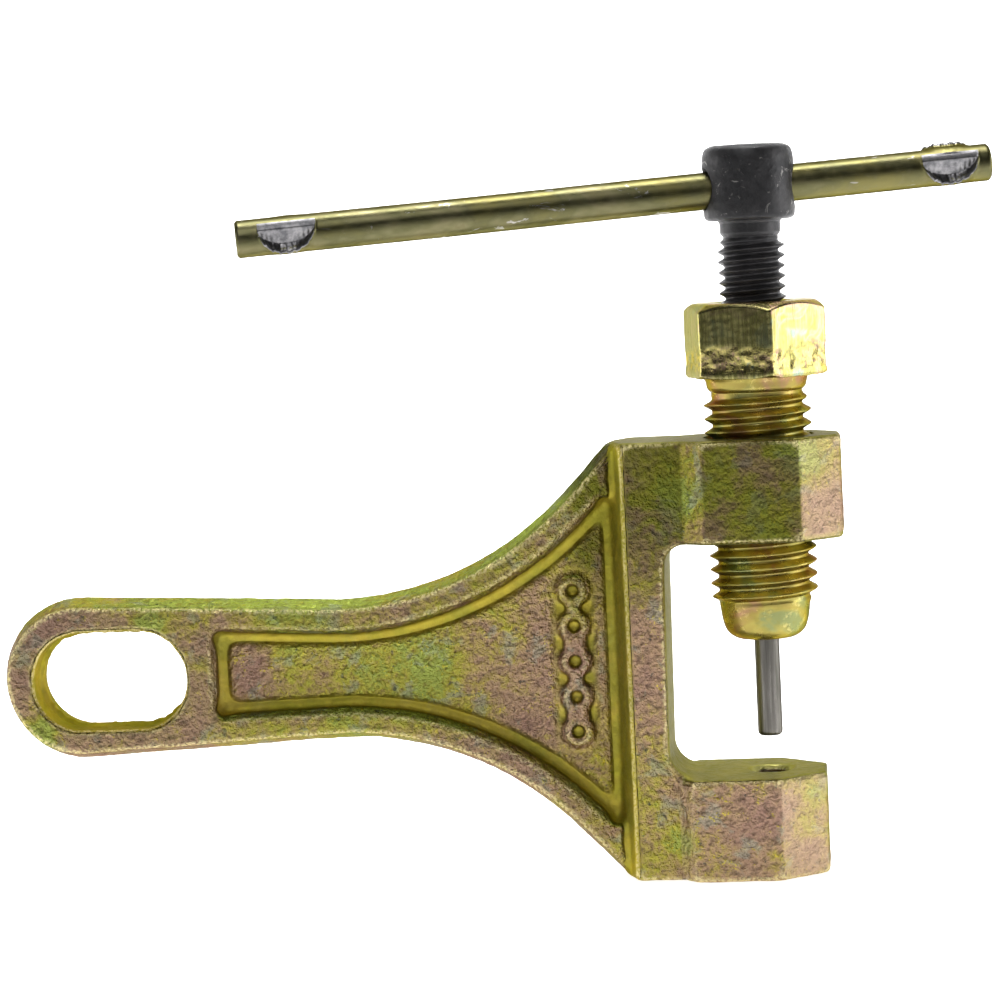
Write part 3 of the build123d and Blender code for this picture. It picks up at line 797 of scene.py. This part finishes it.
def bar_zinc():
    g = Graph("zinc_bar_skin")
    cloud = g.noise(10.0, 4.0, 0.6, 51, (0.35, 1.0, 1.0), 0.5)
    small = g.noise(1.2, 3.0, 0.6, 52)
    drag = g.noise(2.0, 4.0, 0.6, 53, (0.12, 2.5, 2.5))
    pale = g.noise(3.2, 4.0, 0.7, 54, (0.6, 1.0, 1.0), 1.0)
    colour = g.ramp(cloud, [
        (0.36, (0.20, 0.18, 0.07)), (0.46, (0.15, 0.145, 0.07)), (0.54, (0.23, 0.21, 0.11)),
        (0.64, (0.17, 0.15, 0.07)),
    ])
    colour = g.mix(g.math("MULTIPLY", g.span(small, 0.46, 0.34), 0.5), colour, (0.20, 0.18, 0.09))
    colour = g.mix(g.math("MULTIPLY", g.span(pale, 0.62, 0.70), 0.8), colour, (0.60, 0.58, 0.56))
    bare = g.attribute("bare")
    steel = g.ramp(small, [(0.35, (0.16, 0.16, 0.17)), (0.65, (0.36, 0.35, 0.36))])
    colour = g.mix(g.span(bare, 0.2, 0.6), colour, steel)
    g.link(colour, g.bsdf.inputs["Base Color"])
    g.bsdf.inputs["Metallic"].default_value = 0.97
    g.bsdf.inputs["Specular Tint"].default_value = (0.20, 0.19, 0.10, 1.0)
    g.link(g.span(small, 0.3, 0.7, 0.40, 0.28), g.bsdf.inputs["Roughness"])
    g.bump([(small, 0.2, 0.08), (drag, 0.25, 0.04)])
    return g.mat


def bare_steel(name, dark, light, rough_low, rough_high, stretch):
    g = Graph(name)
    drag = g.noise(1.5, 4.0, 0.6, 61, stretch)
    small = g.noise(0.8, 3.0, 0.6, 62)
    colour = g.ramp(drag, [(0.35, dark), (0.65, light)])
    colour = g.mix(g.span(small, 0.66, 0.74), colour, (0.16, 0.13, 0.10))
    g.link(colour, g.bsdf.inputs["Base Color"])
    g.bsdf.inputs["Metallic"].default_value = 0.97
    g.bsdf.inputs["Specular Tint"].default_value = (0.12, 0.12, 0.11, 1.0)
    g.link(g.span(drag, 0.3, 0.7, rough_high, rough_low), g.bsdf.inputs["Roughness"])
    g.bump([(small, 0.3, 0.08), (drag, 0.35, 0.05)])
    return g.mat


def dress(obj, material):
    obj.data.materials.clear()
    obj.data.materials.append(material)


# ---------------------------------------------------------------- build and place
forging = build_frame()
dress(forging, forged_zinc())
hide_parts("frame")
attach(forging, "frame")

shank = build_bolt_shank()
dress(shank, turned_zinc())
head = build_bolt_head()
dress(head, hex_zinc())
for piece in (shank, head):
    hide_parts("pressure_bolt")
    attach(piece, "pressure_bolt")

thread = build_spindle_thread()
screw_head = build_spindle_head()
oxide = black_oxide()
for piece in (thread, screw_head):
    dress(piece, oxide)
    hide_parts("spindle_screw")
    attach(piece, "spindle_screw")

bar = build_bar()
dress(bar, bar_zinc())
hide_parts("tommy_bar")
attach(bar, "tommy_bar")

pin = build_pin()
dress(pin, bare_steel("pin_steel_skin", (0.13, 0.125, 0.11), (0.25, 0.235, 0.215), 0.24, 0.40,
                      (2.5, 2.5, 0.12)))
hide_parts("push_pin")
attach(pin, "push_pin")

spring = nodes["return_spring"]
dress(spring, bare_steel("spring_steel_skin", (0.30, 0.30, 0.31), (0.55, 0.55, 0.56), 0.25, 0.38,
                         (1.0, 1.0, 1.0)))

# ---------------------------------------------------------------- floor and light
floor_z = cad_low[2]
wide, back, tall, curve = 2.4, 0.9, 1.8, 0.4
steps = 24
rise = [(-wide, floor_z), (back - curve, floor_z)]
for i in range(1, steps + 1):
    a = math.pi / 2 * i / steps
    rise.append((back - curve + curve * math.sin(a), floor_z + curve * (1 - math.cos(a))))
rise.append((back, floor_z + tall))
verts, faces = [], []
for y, z in rise:
    verts += [(-wide, y, z), (wide, y, z)]
for i in range(len(rise) - 1):
    faces.append((2 * i, 2 * i + 1, 2 * i + 3, 2 * i + 2))
floor = new_object("studio_floor", verts, faces)
paper = Graph("studio_paper")
fibre = paper.ramp(paper.noise(60.0, 2.0, 0.5, 71),
                   [(0.3, (0.86, 0.86, 0.86)), (0.7, (0.90, 0.90, 0.90))])
paper.link(fibre, paper.bsdf.inputs["Base Color"])
paper.bsdf.inputs["Roughness"].default_value = 0.9
# painted light: the paper glows brightly under and behind the tool, and dimmer in front of it
glow = paper.span(paper.place()[1], -1.10, -0.07)
light = paper.ramp(glow, [(0.0, (0.40, 0.40, 0.40)), (0.85, (0.14, 0.14, 0.14)),
                          (1.0, (0.80, 0.80, 0.80))])
paper.link(light, paper.bsdf.inputs["Emission Color"])
paper.bsdf.inputs["Emission Strength"].default_value = 1.0
dress(floor, paper.mat)

world = bpy.data.worlds.new("studio_world")
scene.world = world
world.use_nodes = True
world.node_tree.nodes["Background"].inputs[0].default_value = (0.82, 0.85, 0.9, 1)
world.node_tree.nodes["Background"].inputs[1].default_value = 0.012


def area(name, place, aim, size, power, spread):
    """A soft rectangular light at place, turned toward aim."""
    data = bpy.data.lights.new(name, "AREA")
    data.shape = "RECTANGLE"
    data.size, data.size_y = size
    data.energy = power
    data.spread = math.radians(spread)
    obj = bpy.data.objects.new(name, data)
    obj.location = place
    obj.rotation_euler = (Vector(aim) - Vector(place)).to_track_quat("-Z", "Y").to_euler()
    obj.visible_camera = False
    scene.collection.objects.link(obj)
    return obj


area("key_top", (-0.04, 0.10, 0.42), (-0.04, 0.10, 0.0), (0.45, 0.25), 0.38, 50)
area("front_top", (-0.1, -0.6, 0.7), (-0.03, 0.0, 0.04), (0.5, 0.5), 0.50, 100)
area("left_box", (-0.62, 0.0, 0.10), (-0.03, 0.0, 0.03), (0.30, 0.30), 0.32, 120)
area("right_box", (0.50, 0.02, 0.10), (0.0, 0.0, 0.04), (0.30, 0.36), 0.46, 120)
area("floor_wash", (-0.12, 0.48, 0.55), (-0.12, 0.48, 0.0), (0.9, 0.25), 1.8, 75)
area("backdrop_wash", (-0.12, 0.35, 0.8), (-0.15, 0.9, 0.15), (0.8, 0.2), 3.0, 80)

# ---------------------------------------------------------------- camera
azimuth, elevation, roll = math.radians(6.7), math.radians(4.7), math.radians(2.7)
target = Vector((-0.03828, 0.0, 0.04093))
distance = 0.5
back_way = Vector((math.sin(azimuth) * math.cos(elevation),
                   -math.cos(azimuth) * math.cos(elevation), math.sin(elevation)))
cam_data = bpy.data.cameras.new("camera")
cam_data.sensor_width = 36.0
cam_data.lens = 122.4
cam_data.clip_start = 0.01
camera = bpy.data.objects.new("camera", cam_data)
scene.collection.objects.link(camera)
look = (-back_way).to_track_quat("-Z", "Y").to_matrix().to_4x4()
stand = Matrix.Translation(target + back_way * distance)
camera.matrix_world = stand @ look @ Matrix.Rotation(-roll, 4, "Z")
scene.camera = camera
scene.view_settings.view_transform = "Standard"
